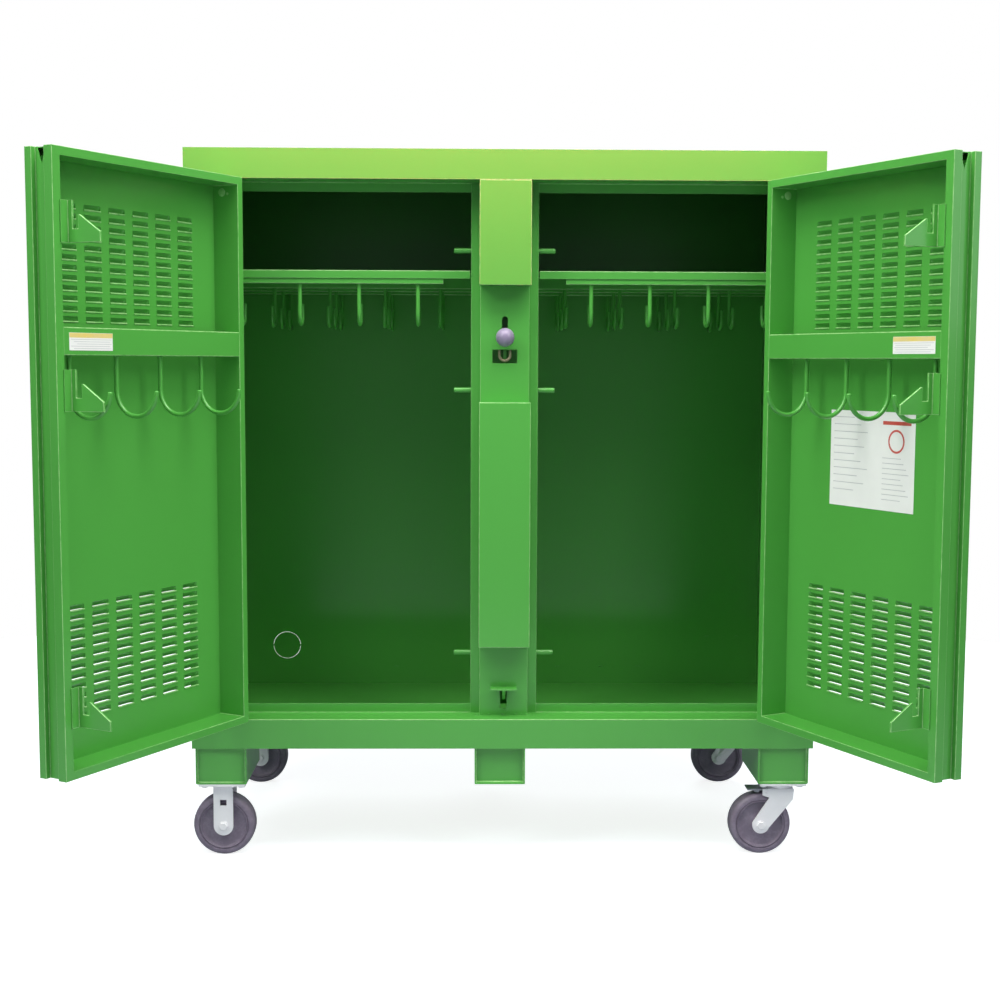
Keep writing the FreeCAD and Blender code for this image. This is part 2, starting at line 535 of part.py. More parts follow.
# ================= move to the middle and write =================
bounds = Part.makeCompound(list(pieces.values())).BoundBox
shift = V(-(bounds.XMin + bounds.XMax) / 2, -(bounds.YMin + bounds.YMax) / 2, -bounds.ZMin)
print("origin shift", round(shift.x, 4), round(shift.y, 4), round(shift.z, 4))
os.makedirs("parts", exist_ok=True)
for name, shape in pieces.items():
    placed = shape.copy()
    placed.translate(shift)
    placed.exportStep(f"parts/{name}.step")
print(len(pieces), "pieces", round(bounds.XLength, 1), round(bounds.YLength, 1), round(bounds.ZLength, 1))
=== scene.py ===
import json
import math
import random

import bmesh
import bpy
from mathutils import Matrix, Vector


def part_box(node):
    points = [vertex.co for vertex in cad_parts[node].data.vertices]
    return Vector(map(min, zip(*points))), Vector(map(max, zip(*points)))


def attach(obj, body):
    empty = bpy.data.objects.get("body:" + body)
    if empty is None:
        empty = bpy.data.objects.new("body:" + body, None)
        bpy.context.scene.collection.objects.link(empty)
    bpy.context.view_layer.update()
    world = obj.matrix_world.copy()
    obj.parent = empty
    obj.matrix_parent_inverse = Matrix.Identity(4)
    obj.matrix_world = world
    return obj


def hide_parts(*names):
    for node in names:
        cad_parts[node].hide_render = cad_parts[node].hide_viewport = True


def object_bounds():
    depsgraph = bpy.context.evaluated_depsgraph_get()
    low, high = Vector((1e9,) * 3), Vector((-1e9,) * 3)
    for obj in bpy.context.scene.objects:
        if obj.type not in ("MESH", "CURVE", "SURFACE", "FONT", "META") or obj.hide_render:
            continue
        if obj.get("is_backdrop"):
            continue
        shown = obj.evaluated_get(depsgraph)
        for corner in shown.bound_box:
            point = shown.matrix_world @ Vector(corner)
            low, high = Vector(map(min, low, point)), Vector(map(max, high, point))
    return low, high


# Rolling storage cabinet, doors open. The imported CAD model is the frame. Sizes below
# are in millimetres in the cabinet's own axes: X from the middle of the front to the
# right, Y back from the front plane, Z up from the floor.
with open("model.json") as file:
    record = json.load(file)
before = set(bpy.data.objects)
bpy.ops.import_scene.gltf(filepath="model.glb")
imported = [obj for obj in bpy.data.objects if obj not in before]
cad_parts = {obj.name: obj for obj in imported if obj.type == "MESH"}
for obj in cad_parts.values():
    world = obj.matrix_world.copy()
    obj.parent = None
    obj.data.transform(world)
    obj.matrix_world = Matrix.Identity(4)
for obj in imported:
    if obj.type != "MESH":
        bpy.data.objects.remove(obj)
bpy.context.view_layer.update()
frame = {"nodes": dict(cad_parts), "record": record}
NODES = frame["nodes"]
BODY_OF = {node: body for body, nodes in frame["record"]["behaviour"]["bodies"].items() for node in nodes}
SLOT_OF = {part["node"]: part["material_slot"] for part in frame["record"]["subparts"]}
JOINTS = {joint["name"]: joint for joint in frame["record"]["behaviour"]["joints"]}
random.seed(7)

header_low, header_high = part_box("header_beam")
FRONT_MIDDLE = Vector(((header_low.x + header_high.x) / 2, header_low.y, 0.0))
MM = 0.001


def at(x, y, z):
    """A point given in the cabinet's millimetres, in the row frame."""
    return FRONT_MIDDLE + Vector((x, y, z)) * MM


def door_frame(side):
    """Matrix from door millimetres (s along, e through, z up) to the row frame."""
    joint = JOINTS[f"{side}_door_hinge"]
    hinge = Vector((joint["pos_m"][0], joint["pos_m"][1], 0.0))
    opened = math.radians(joint["range_deg"][1])
    if side == "left":
        return Matrix.Translation(hinge) @ Matrix.Rotation(-opened, 4, "Z") @ Matrix.Scale(MM, 4)
    mirror = Matrix.Scale(-1, 4, (1, 0, 0))
    return Matrix.Translation(hinge) @ Matrix.Rotation(opened, 4, "Z") @ mirror @ Matrix.Scale(MM, 4)


CABINET = Matrix.Translation(FRONT_MIDDLE) @ Matrix.Scale(MM, 4)


# ======================= materials =======================
def material(name):
    made = bpy.data.materials.new(name)
    made.use_nodes = True
    nodes = made.node_tree.nodes
    return made, nodes, made.node_tree.links, nodes["Principled BSDF"]


def noise(nodes, links, coords, scale, detail=4.0, rough=0.55):
    tex = nodes.new("ShaderNodeTexNoise")
    tex.inputs["Scale"].default_value = scale
    tex.inputs["Detail"].default_value = detail
    tex.inputs["Roughness"].default_value = rough
    links.new(coords, tex.inputs["Vector"])
    return tex.outputs["Fac"]


def spread(nodes, links, value, low, high, from_low=0.3, from_high=0.7):
    """Maps a noise value to a range."""
    node = nodes.new("ShaderNodeMapRange")
    node.inputs["From Min"].default_value = from_low
    node.inputs["From Max"].default_value = from_high
    node.inputs["To Min"].default_value = low
    node.inputs["To Max"].default_value = high
    links.new(value, node.inputs["Value"])
    return node.outputs["Result"]


def blend_colour(nodes, links, factor, first, second):
    node = nodes.new("ShaderNodeMix")
    node.data_type = "RGBA"
    for socket, value in (("A", first), ("B", second)):
        place = [s for s in node.inputs if s.name == socket and s.type == "RGBA"][0]
        if isinstance(value, tuple):
            place.default_value = (*value, 1.0)
        else:
            links.new(value, place)
    links.new(factor, node.inputs["Factor"])
    return [s for s in node.outputs if s.type == "RGBA"][0]


def bumps(nodes, links, shader, layers):
    """Stacks bump layers of (height output, strength, distance in metres)."""
    previous = None
    for height, strength, distance in layers:
        node = nodes.new("ShaderNodeBump")
        node.inputs["Strength"].default_value = strength
        node.inputs["Distance"].default_value = distance
        links.new(height, node.inputs["Height"])
        if previous:
            links.new(previous, node.inputs["Normal"])
        previous = node.outputs["Normal"]
    links.new(previous, shader.inputs["Normal"])


def powder_coat(name, base, lighter, edge):
    """Glossy powder coat: cloudy colour, orange peel, fine dust, and a painted highlight: a lighter colour on
    marked edges.
    """
    made, nodes, links, shader = material(name)
    coords = nodes.new("ShaderNodeTexCoord").outputs["Object"]
    clouds = spread(nodes, links, noise(nodes, links, coords, 2.2, 1.0), 0.0, 1.0)
    colour = blend_colour(nodes, links, clouds, base, lighter)
    # the edge mark lays the painted highlight of light catching rounded edges, in patches
    highlight_and_wear = nodes.new("ShaderNodeAttribute")
    highlight_and_wear.attribute_name = "edge_highlight_and_wear"
    patchy = spread(nodes, links, noise(nodes, links, coords, 60.0, 5.0), 0.25, 1.0)
    amount = nodes.new("ShaderNodeMath")
    amount.operation = "MULTIPLY"
    links.new(highlight_and_wear.outputs["Fac"], amount.inputs[0])
    links.new(patchy, amount.inputs[1])
    colour = blend_colour(nodes, links, amount.outputs["Value"], colour, edge)
    dust = spread(nodes, links, noise(nodes, links, coords, 900.0, 2.0), 0.0, 0.10, 0.66, 0.76)
    colour = blend_colour(nodes, links, dust, colour, (0.55, 0.75, 0.45))
    links.new(colour, shader.inputs["Base Color"])
    gloss = spread(nodes, links, noise(nodes, links, coords, 14.0, 1.0), 0.27, 0.31, 0.0, 1.0)
    links.new(gloss, shader.inputs["Roughness"])
    shader.inputs["Specular IOR Level"].default_value = 0.5
    shader.inputs["Coat Weight"].default_value = 0.25
    shader.inputs["Coat Roughness"].default_value = 0.12
    orange_peel = noise(nodes, links, coords, 420.0, 2.0)
    bumps(nodes, links, shader, [(orange_peel, 0.25, 0.00012)])
    return made


def plated(name, base, stain, roughness=(0.28, 0.42), metallic=0.85):
    """Zinc plating: faint crystals, brushed streaks and dull patches."""
    made, nodes, links, shader = material(name)
    coords = nodes.new("ShaderNodeTexCoord").outputs["Object"]
    clouds = spread(nodes, links, noise(nodes, links, coords, 18.0, 5.0), 0.0, 0.7)
    colour = blend_colour(nodes, links, clouds, base, stain)
    crystals = nodes.new("ShaderNodeTexVoronoi")
    crystals.inputs["Scale"].default_value = 260.0
    links.new(coords, crystals.inputs["Vector"])
    flakes = spread(nodes, links, crystals.outputs["Distance"], 0.0, 0.12, 0.0, 0.6)
    colour = blend_colour(nodes, links, flakes, colour, (0.93, 0.94, 0.96))
    links.new(colour, shader.inputs["Base Color"])
    shader.inputs["Metallic"].default_value = metallic
    dull = spread(nodes, links, noise(nodes, links, coords, 55.0, 5.0), *roughness)
    links.new(dull, shader.inputs["Roughness"])
    stretch = nodes.new("ShaderNodeMapping")
    stretch.inputs["Scale"].default_value = (1.0, 1.0, 0.06)
    links.new(coords, stretch.inputs["Vector"])
    streaks = noise(nodes, links, stretch.outputs["Vector"], 900.0, 2.0)
    bumps(nodes, links, shader, [(streaks, 0.10, 0.0001), (noise(nodes, links, coords, 90.0), 0.15, 0.0003)])
    return made


def moulded(name, base, scuffed, roughness=(0.34, 0.55)):
    """Hard moulded plastic with scuffs, a fine skin and a little dust."""
    made, nodes, links, shader = material(name)
    coords = nodes.new("ShaderNodeTexCoord").outputs["Object"]
    scuffs = spread(nodes, links, noise(nodes, links, coords, 38.0, 8.0, 0.7), 0.0, 0.8, 0.45, 0.75)
    colour = blend_colour(nodes, links, scuffs, base, scuffed)
    highlight_and_wear = nodes.new("ShaderNodeAttribute")
    highlight_and_wear.attribute_name = "edge_highlight_and_wear"
    colour = blend_colour(nodes, links, highlight_and_wear.outputs["Fac"], colour, scuffed)
    links.new(colour, shader.inputs["Base Color"])
    dull = spread(nodes, links, noise(nodes, links, coords, 70.0, 5.0), *roughness)
    links.new(dull, shader.inputs["Roughness"])
    bumps(nodes, links, shader, [(noise(nodes, links, coords, 26.0), 0.12, 0.001),
                                 (noise(nodes, links, coords, 700.0, 3.0), 0.22, 0.00012)])
    return made


def ink(name, base, faded):
    """Print on laminated paper: a slight fade and the film's soft waves."""
    made, nodes, links, shader = material(name)
    coords = nodes.new("ShaderNodeTexCoord").outputs["Object"]
    fade = spread(nodes, links, noise(nodes, links, coords, 24.0, 4.0), 0.0, 1.0)
    links.new(blend_colour(nodes, links, fade, base, faded), shader.inputs["Base Color"])
    links.new(spread(nodes, links, noise(nodes, links, coords, 45.0), 0.28, 0.42), shader.inputs["Roughness"])
    bumps(nodes, links, shader, [(noise(nodes, links, coords, 30.0), 0.2, 0.0004),
                                 (noise(nodes, links, coords, 1200.0, 2.0), 0.08, 0.00005)])
    return made


# the third colour, (0.40, 0.72, 0.30), is the painted edge highlight
GREEN = powder_coat("green_powder_coat", (0.086, 0.400, 0.062), (0.089, 0.406, 0.063), (0.40, 0.72, 0.30))
ZINC = plated("zinc_plate", (0.96, 0.95, 0.97), (0.86, 0.85, 0.89), metallic=0.15)
STEEL = plated("dull_steel", (0.33, 0.34, 0.38), (0.22, 0.23, 0.27), (0.35, 0.5))
BRASS = plated("worn_brass", (0.30, 0.25, 0.12), (0.18, 0.16, 0.08), (0.35, 0.5), 0.6)
WHEEL = moulded("wheel_grey", (0.20, 0.165, 0.225), (0.32, 0.275, 0.355))
KNOB = moulded("knob_grey", (0.27, 0.23, 0.35), (0.36, 0.32, 0.44), (0.26, 0.38))
PAPER = ink("label_paper", (0.97, 0.97, 0.96), (0.93, 0.93, 0.92))
YELLOW = ink("label_yellow", (0.86, 0.66, 0.16), (0.82, 0.68, 0.30))
GREY = ink("label_grey", (0.52, 0.53, 0.55), (0.64, 0.65, 0.67))
RED = ink("label_red", (0.66, 0.07, 0.06), (0.60, 0.12, 0.10))
LOOK = {"green_powder_coat": GREEN, "zinc_plate": ZINC, "bare_steel": STEEL, "caster_wheel": WHEEL,
        "satin_knob": KNOB, "brass": BRASS, "printed_label": PAPER}


# ======================= mesh helpers =======================
def finish_piece(bm, name, looks, body, nodes=(), sharp=38.0):
    """Turns a bmesh into a piece: smooth with sharp edges kept, on its body, for its nodes."""
    mesh = bpy.data.meshes.new(name)
    bm.normal_update()
    bm.to_mesh(mesh)
    bm.free()
    for look in looks:
        mesh.materials.append(look)
    for face in mesh.polygons:
        face.use_smooth = True
    mesh.set_sharp_from_angle(angle=math.radians(sharp))
    piece = bpy.data.objects.new(name, mesh)
    bpy.context.scene.collection.objects.link(piece)
    weighted = piece.modifiers.new("face_weights", "WEIGHTED_NORMAL")
    weighted.keep_sharp = True
    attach(piece, body)
    if nodes:
        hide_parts(*nodes)
    return piece


def highlight_and_wear_layer(bm):
    return bm.loops.layers.float.get("edge_highlight_and_wear") or bm.loops.layers.float.new("edge_highlight_and_wear")


def from_cad(node):
    """The CAD piece as clean flat faces, ready to round."""
    bm = bmesh.new()
    bm.from_mesh(NODES[node].data)
    bmesh.ops.remove_doubles(bm, verts=bm.verts, dist=2e-6)
    bmesh.ops.dissolve_limit(bm, angle_limit=math.radians(0.5), verts=bm.verts, edges=bm.edges)
    return bm


THIN_FACE = 0.0036           # metres; a face narrower than this is the cut edge of a sheet


def hard_edges(bm, thin_only):
    """Edges sharper than 35 degrees that do or don't belong to a cut sheet edge."""
    thin = {face for face in bm.faces if face.calc_area() < THIN_FACE * face.calc_perimeter() / 2}
    found = []
    for edge in bm.edges:
        if len(edge.link_faces) != 2 or edge.calc_face_angle(0.0) < math.radians(35):
            continue
        cut = any(face in thin for face in edge.link_faces)
        if cut == thin_only:
            found.append(edge)
    return found


def round_edges(bm, fold, cut):
    """Rounds the folds by one radius and the cut edges of the sheet by a smaller one."""
    layer = highlight_and_wear_layer(bm)
    for thin_only, radius, steps in ((False, fold, 3), (True, cut, 2)):
        edges = hard_edges(bm, thin_only)
        if not edges:
            continue
        made = bmesh.ops.bevel(bm, geom=edges, offset=radius, offset_type="OFFSET", segments=steps,
                               profile=0.5, affect="EDGES", clamp_overlap=True, material=-1)
        # the rounded faces are marked for the painted edge highlight
        for face in made["faces"]:
            for loop in face.loops:
                loop[layer] = 1.0
    return bm


def cut_out(bm, cutters):
    """Removes convex cutters, each a bmesh, from a bmesh with the exact boolean."""
    body = bpy.data.meshes.new("cut_body")
    bm.to_mesh(body)
    bm.free()
    whole = bpy.data.objects.new("cut_body", body)
    bpy.context.scene.collection.objects.link(whole)
    tools = []
    for cutter in cutters:
        mesh = bpy.data.meshes.new("cutter")
        bmesh.ops.recalc_face_normals(cutter, faces=cutter.faces)
        cutter.to_mesh(mesh)
        cutter.free()
        tool = bpy.data.objects.new("cutter", mesh)
        bpy.context.scene.collection.objects.link(tool)
        tools.append(tool)
        step = whole.modifiers.new("cut", "BOOLEAN")
        step.operation = "DIFFERENCE"
        step.solver = "EXACT"
        step.object = tool
    bpy.context.view_layer.update()
    done = whole.evaluated_get(bpy.context.evaluated_depsgraph_get())
    result = bmesh.new()
    result.from_mesh(done.data)
    for thing in [whole, *tools]:
        mesh = thing.data
        bpy.data.objects.remove(thing)
        bpy.data.meshes.remove(mesh)
    bmesh.ops.remove_doubles(result, verts=result.verts, dist=2e-6)
    return result


def prism(points, axis_step, place):
    """A solid from an outline and the step it is pushed along, through a matrix."""
    bm = bmesh.new()
    near = [bm.verts.new(place @ Vector(p)) for p in points]
    far = [bm.verts.new(place @ (Vector(p) + Vector(axis_step))) for p in points]
    bm.faces.new(near)
    bm.faces.new(far[::-1])
    for i in range(len(points)):
        j = (i + 1) % len(points)
        bm.faces.new((near[j], near[i], far[i], far[j]))
    bmesh.ops.recalc_face_normals(bm, faces=bm.faces)
    return bm


def sweep(bm, points, radii, sides=12, highlight_and_wear=0.0):
    """A round bar along points, each with its radius, closed at both ends."""
    layer = highlight_and_wear_layer(bm)
    points = [Vector(p) for p in points]
    rings = []
    side = None
    for i, point in enumerate(points):
        ahead = points[min(i + 1, len(points) - 1)] - points[max(i - 1, 0)]
        ahead.normalize()
        if side is None:
            side = ahead.orthogonal().normalized()
        side = (side - ahead * side.dot(ahead)).normalized()
        up = ahead.cross(side)
        ring = []
        for k in range(sides):
            a = 2 * math.pi * k / sides
            ring.append(bm.verts.new(point + (side * math.cos(a) + up * math.sin(a)) * radii[i]))
        rings.append(ring)
    for low, high in zip(rings, rings[1:]):
        for k in range(sides):
            j = (k + 1) % sides
            for loop in bm.faces.new((low[k], low[j], high[j], high[k])).loops:
                loop[layer] = highlight_and_wear
    bm.faces.new(rings[0][::-1])
    bm.faces.new(rings[-1])


def rounded_bar(bm, points, radius, sides=14, end=0.45):
    """A bar with its ends rounded over."""
    first = Vector(points[0])
    last = Vector(points[-1])
    start = (Vector(points[1]) - first).normalized() * radius * end
    stop = (last - Vector(points[-2])).normalized() * radius * end
    path = [first, first + start * 0.4, first + start, *points[1:-1], last - stop, last - stop * 0.4, last]
    taper = [radius * 0.62, radius * 0.88, radius]
    sweep(bm, path, taper + [radius] * (len(points) - 2) + taper[::-1], sides)


def weld(bm, start, end, radius, place=None):
    """A run of weld: overlapping beads, each a little different."""
    start, end = Vector(start), Vector(end)
    if place is not None:
        start, end = place @ start, place @ end
    pitch = radius * 0.9
    count = max(3, int((end - start).length / (pitch / 3)))
    points = []
    radii = []
    for i in range(count + 1):
        t = i / count
        ripple = abs(math.sin(math.pi * i / 3.0))
        points.append(start.lerp(end, t) + Vector([random.uniform(-0.08, 0.08) * radius for _ in range(3)]))
        end_taper = 0.55 if i in (0, count) else 1.0
        radii.append(radius * (0.78 + 0.22 * ripple) * random.uniform(0.93, 1.07) * end_taper)
    sweep(bm, points, radii, 8)


def lathe(bm, profile, place, steps=64, highlight_and_wear=()):
    """Turns a profile of (radius, height) about the local Z axis of a matrix; the given steps get the edge
    mark, a painted highlight on paint and worn scuffs on plastic.
    """
    layer = highlight_and_wear_layer(bm)
    rings = []
    for radius, height in profile:
        if radius < 1e-6:
            rings.append([bm.verts.new(place @ Vector((0, 0, height)))])
            continue
        ring = [bm.verts.new(place @ Vector((radius * math.cos(2 * math.pi * k / steps),
                                             radius * math.sin(2 * math.pi * k / steps), height)))
                for k in range(steps)]
        rings.append(ring)
    for number, (low, high) in enumerate(zip(rings, rings[1:])):
        for k in range(steps):
            j = (k + 1) % steps
            corners = []
            for vert in (low[k % len(low)], low[j % len(low)], high[j % len(high)], high[k % len(high)]):
                if vert not in corners:
                    corners.append(vert)
            face = bm.faces.new(corners)
            if number in highlight_and_wear:
                for loop in face.loops:
                    loop[layer] = 1.0


def hexagon(bm, place, across, height):
    """A hexagon head or nut with its top corners turned off, standing on local z = 0."""
    apex = across / 2 / math.cos(math.pi / 6)
    rings = []
    for radius, z in ((apex, 0.0), (apex, height * 0.82), (apex * 0.9, height), (apex * 0.55, height),
                      (apex * 0.5, height * 0.97)):
        corners = [Vector((radius * math.cos(math.pi / 3 * k), radius * math.sin(math.pi / 3 * k), z))
                   for k in range(6)]
        rings.append([bm.verts.new(place @ corner) for corner in corners])
    for low, high in zip(rings, rings[1:]):
        for k in range(6):
            j = (k + 1) % 6
            bm.faces.new((low[k], low[j], high[j], high[k]))
    bm.faces.new(rings[-1])
    bm.faces.new(rings[0][::-1])


def fix_normals(bm):
    bmesh.ops.recalc_face_normals(bm, faces=bm.faces)
    return bm


# ======================= pieces kept as folded sheet =======================
# fold radius and cut-edge radius of every node that is rounded from its CAD shape
FOLDED = {
    "left_side_panel": (1.5, 0.4), "right_side_panel": (1.5, 0.4), "back_panel": (1.5, 0.3),
    "roof_panel": (1.5, 0.4), "floor_panel": (1.5, 0.4), "header_beam": (2.4, 0.6), "sill_beam": (2.4, 0.6),
    "left_jamb": (1.6, 0.6), "right_jamb": (1.6, 0.6), "center_post": (1.6, 0.5),
    "post_upper_cover": (2.6, 0.6), "post_lower_cover": (2.6, 0.6), "left_shelf": (1.8, 0.5),
    "right_shelf": (1.8, 0.5), "hook_rails": (1.5, 0.6), "front_feet": (2.4, 0.6), "rear_feet": (2.4, 0.6),
    "frame_hinge_leaves": (0.8, 0.5), "hinge_pins": (0.8, 0.5), "lock_bar": (1.0, 0.5),
    "lock_bar_guides": (1.0, 0.5), "padlock_box": (0.8, 0.5), "foot_pedal": (1.2, 0.8),
    "pedal_pivot_pin": (0.6, 0.5), "rigid_caster_forks": (2.2, 0.8), "swivel_plates": (1.4, 0.8),
    "front_swivel_fork": (2.2, 0.9), "rear_swivel_fork": (2.2, 0.9), "front_brake_pedal": (1.4, 0.9),
    "rear_brake_pedal": (1.4, 0.9),
}
for side in ("left", "right"):
    FOLDED[f"{side}_door_mid_rail"] = (2.0, 0.6)
    FOLDED[f"{side}_door_catches"] = (1.2, 0.9)
    FOLDED[f"{side}_door_hinge_leaves"] = (0.8, 0.5)
for node, (fold, cut) in FOLDED.items():
    shape = round_edges(from_cad(node), fold * MM, cut * MM)
    finish_piece(shape, node + "_formed", [LOOK[SLOT_OF[node]]], BODY_OF[node], [node])

# ======================= door skins with pressed louvres =======================
S0, S1 = 4.0, 616.0          # door skin along the door, from the hinge axis
E0, E1 = 7.0, 80.0           # door thickness
Z0, Z1 = 353.0, 1646.0
LOUVRE_W, LOUVRE_H, LOUVRE_D = 51.0, 11.0, 8.0
LOUVRE_LIP = 0.4             # the hood's lower edge stands this far above the slot's lower edge
LOUVRE_BEAD = 1.8            # radius of the rolled edge under the slot
LOUVRE_S = [128.0 + 75.0 * i for i in range(6)]
LOUVRE_Z = [z + 21.3 * j for z in (457.0, 1301.0) for j in range(12)]
SHEET = 1.8


def hood_depth(s, z):
    """How far the pressed hood stands out at a point, 0 outside every louvre."""
    for centre in LOUVRE_S:
        across = abs(s - centre) / (LOUVRE_W / 2)
        if across > 1.0:
            continue
        for low in LOUVRE_Z:
            up = (z - low) / LOUVRE_H
            if -0.01 <= up <= 1.0:
                return LOUVRE_D * (1 - across ** 6) ** 0.5 * (1 - max(up, 0.0) ** 2)
    return 0.0


def door_skin(side):
    place = door_frame(side)
    along = [0.0, 0.02, 0.06, 0.14, 0.3, 0.5, 0.7, 0.86, 0.94, 0.98, 1.0]
    lines_s = [S0] + [c - LOUVRE_W / 2 + LOUVRE_W * t for c in LOUVRE_S for t in along] + [S1]
    up_steps = [0.0, 0.25, 0.5, 0.72, 0.9, 1.0]
    lines_z = [(Z0, 0)]
    for low in LOUVRE_Z:
        lines_z.append((low, 1))
        lines_z += [(low + LOUVRE_H * t, 2 if t == 0.0 else 0) for t in up_steps]
    lines_z.append((Z1, 0))
    bm = bmesh.new()
    outside = []
    inside = []
    for z, kind in lines_z:
        row_out = []
        row_in = []
        for s in lines_s:
            depth = 0.0 if kind == 1 else hood_depth(s, z)
            lift = LOUVRE_LIP * min(1.0, depth / LOUVRE_D * 1.5) if kind == 2 else 0.0
            row_out.append(bm.verts.new(place @ Vector((s, E0 - depth, z + lift))))
            row_in.append(bm.verts.new(place @ Vector((s, E0 + SHEET - depth, z + lift))))
        outside.append(row_out)
        inside.append(row_in)
    for i in range(len(lines_z) - 1):
        if lines_z[i][1] == 1:
            continue
        for j in range(len(lines_s) - 1):
            bm.faces.new((outside[i][j], outside[i][j + 1], outside[i + 1][j + 1], outside[i + 1][j]))
            bm.faces.new((inside[i][j], inside[i + 1][j], inside[i + 1][j + 1], inside[i][j + 1]))
    # close the sheet's thickness along every slot and round the outline
    for i, (z, kind) in enumerate(lines_z):
        if kind in (1, 2) or i in (0, len(lines_z) - 1):
            for j in range(len(lines_s) - 1):
                a, b = outside[i][j], outside[i][j + 1]
                c, d = inside[i][j + 1], inside[i][j]
                if kind in (1, 2) and hood_depth((lines_s[j] + lines_s[j + 1]) / 2, z) == 0.0:
                    continue
                bm.faces.new((a, d, c, b) if (kind == 2 or i == 0) else (a, b, c, d))
    for j in (0, len(lines_s) - 1):
        for i in range(len(lines_z) - 1):
            if lines_z[i][1] != 1:
                bm.faces.new((outside[i][j], outside[i + 1][j], inside[i + 1][j], inside[i][j]))
    bmesh.ops.remove_doubles(bm, verts=bm.verts, dist=1e-6)
    # the sheet's lower slot edge is rolled over into a thin bead, carrying the painted edge highlight
    for centre in LOUVRE_S:
        for low in LOUVRE_Z:
            ends = (centre - LOUVRE_W / 2, centre + LOUVRE_W / 2)
            bead = [place @ Vector((s, E0 + SHEET, low - 0.8)) for s in ends]
            sweep(bm, bead, [LOUVRE_BEAD * MM] * 2, 8, highlight_and_wear=1.0)
    return fix_normals(bm)


for side in ("left", "right"):
    finish_piece(door_skin(side), f"{side}_door_skin_louvred", [GREEN], f"{side}_door",
                 [f"{side}_door_skin"], 30.0)

# ======================= door rims =======================
PULL_E = (24.5, 58.0)        # the finger groove in the free edge
NOTCH_S, NOTCH_DEPTH = 598.0, 36.0
RIM_INNER_S = 22.0           # the hinge side's inner wall, where two weld plugs show
PLUG = [(8.0, -0.5), (8.0, 0.6), (7.4, 1.4), (3.0, 1.9), (0.0, 2.0)]
for side in ("left", "right"):
    place = door_frame(side)
    corners = ((PULL_E[0] + 4, Z1 + 1), (PULL_E[1] - 4, Z1 + 1), (sum(PULL_E) / 2, Z1 - NOTCH_DEPTH))
    notch = prism([(NOTCH_S, e, z) for e, z in corners], (11, 0, 0), place)
    shape = cut_out(from_cad(f"{side}_door_rim"), [notch])
    bmesh.ops.dissolve_limit(shape, angle_limit=math.radians(0.5), verts=shape.verts, edges=shape.edges)
    round_edges(shape, 1.9 * MM, 0.5 * MM)
    # the two domed plugs carry the lighter edge colour as a painted highlight
    for scale, e, z in ((1.2, 34, 1612), (0.4, 50, 1608)):
        where = place @ Matrix.Translation((RIM_INNER_S, e, z)) @ Matrix.Rotation(math.radians(90), 4, "Y")
        lathe(shape, [(r * scale, h * scale) for r, h in PLUG], where, 32, highlight_and_wear=range(4))
    finish_piece(shape, f"{side}_door_rim_formed", [GREEN], f"{side}_door", [f"{side}_door_rim"])

# ======================= hooks =======================
# each row: its depth, the way its hooks open, and the places from the middle outwards
BACK_PLACES = (162.0, 306.0, 450.0, 594.0)
HOOK_ROWS = ((100.0, 1, (212.0, 356.0, 500.0, 644.0)), (350.0, -1, BACK_PLACES),
             (530.0, -1, BACK_PLACES), (715.0, -1, BACK_PLACES))
HOOK_R = 28                  # the hook's bend
HOOK_TOP_Z, HOOK_BEND_Z, HOOK_TIP_Z = 1409, 1339, 1362
ROD_R = 5                    # bar of every hook
bm = bmesh.new()
for row_y, toward, places in HOOK_ROWS:
    for x in [side * p for side in (-1, 1) for p in places]:
        lean = random.uniform(-1.2, 1.2)
        bend = [at(x + lean * 0.5, row_y + toward * (HOOK_R - HOOK_R * math.cos(a)),
                   HOOK_BEND_Z - HOOK_R * math.sin(a)) for a in [math.pi * k / 14 for k in range(15)]]
        tip = at(x + lean, row_y + toward * 2 * HOOK_R, HOOK_TIP_Z)
        rounded_bar(bm, [at(x, row_y, HOOK_TOP_Z), *bend, tip], ROD_R * MM)
        weld(bm, at(x - 6, row_y, HOOK_TOP_Z - 1), at(x + 6, row_y, HOOK_TOP_Z - 1), 3.2 * MM)
finish_piece(fix_normals(bm), "shelf_hooks_bent", [GREEN], "cabinet", ["shelf_hooks"])

DOOR_HOOK_S = (140.0, 280.0, 420.0, 560.0)
DOOR_HOOK_E = 60             # depth of the hook's shank in the door
DOOR_HOOK_R = 54.5
DOOR_HOOK_Z = 1156.5         # height of the bend's centre
RAIL_Z = (1230.0, 1287.0)    # the middle rail
for side in ("left", "right"):
    place = door_frame(side)
    bm = bmesh.new()
    for s in DOOR_HOOK_S:
        bend = [place @ Vector((s, DOOR_HOOK_E + DOOR_HOOK_R - DOOR_HOOK_R * math.cos(a),
                                DOOR_HOOK_Z - DOOR_HOOK_R * math.sin(a)))
                for a in [math.pi * k / 20 for k in range(21)]]
        rounded_bar(bm, [place @ Vector((s, DOOR_HOOK_E, RAIL_Z[0])), *bend], ROD_R * MM)
        weld_z = RAIL_Z[0] - 1
        weld(bm, (s - 7, DOOR_HOOK_E, weld_z), (s + 7, DOOR_HOOK_E, weld_z), 3.4 * MM, place)
    finish_piece(fix_normals(bm), f"{side}_door_hooks_bent", [GREEN], f"{side}_door", [f"{side}_door_hooks"])

# ======================= lock pins, knob and staple =======================
PIN_Z = (497.0, 1151.0, 1490.0)
PIN_X = (-124, -40, 40, 124)     # both ends, and two points where the bar is full
PIN_Y = 100
PIN_R = 6.35
bm = bmesh.new()
for z in PIN_Z:
    rounded_bar(bm, [at(x, PIN_Y, z) for x in PIN_X], PIN_R * MM, 18, 0.3)
finish_piece(fix_normals(bm), "lock_cross_pins_turned", [GREEN], "lock_bar", ["lock_cross_pins"])

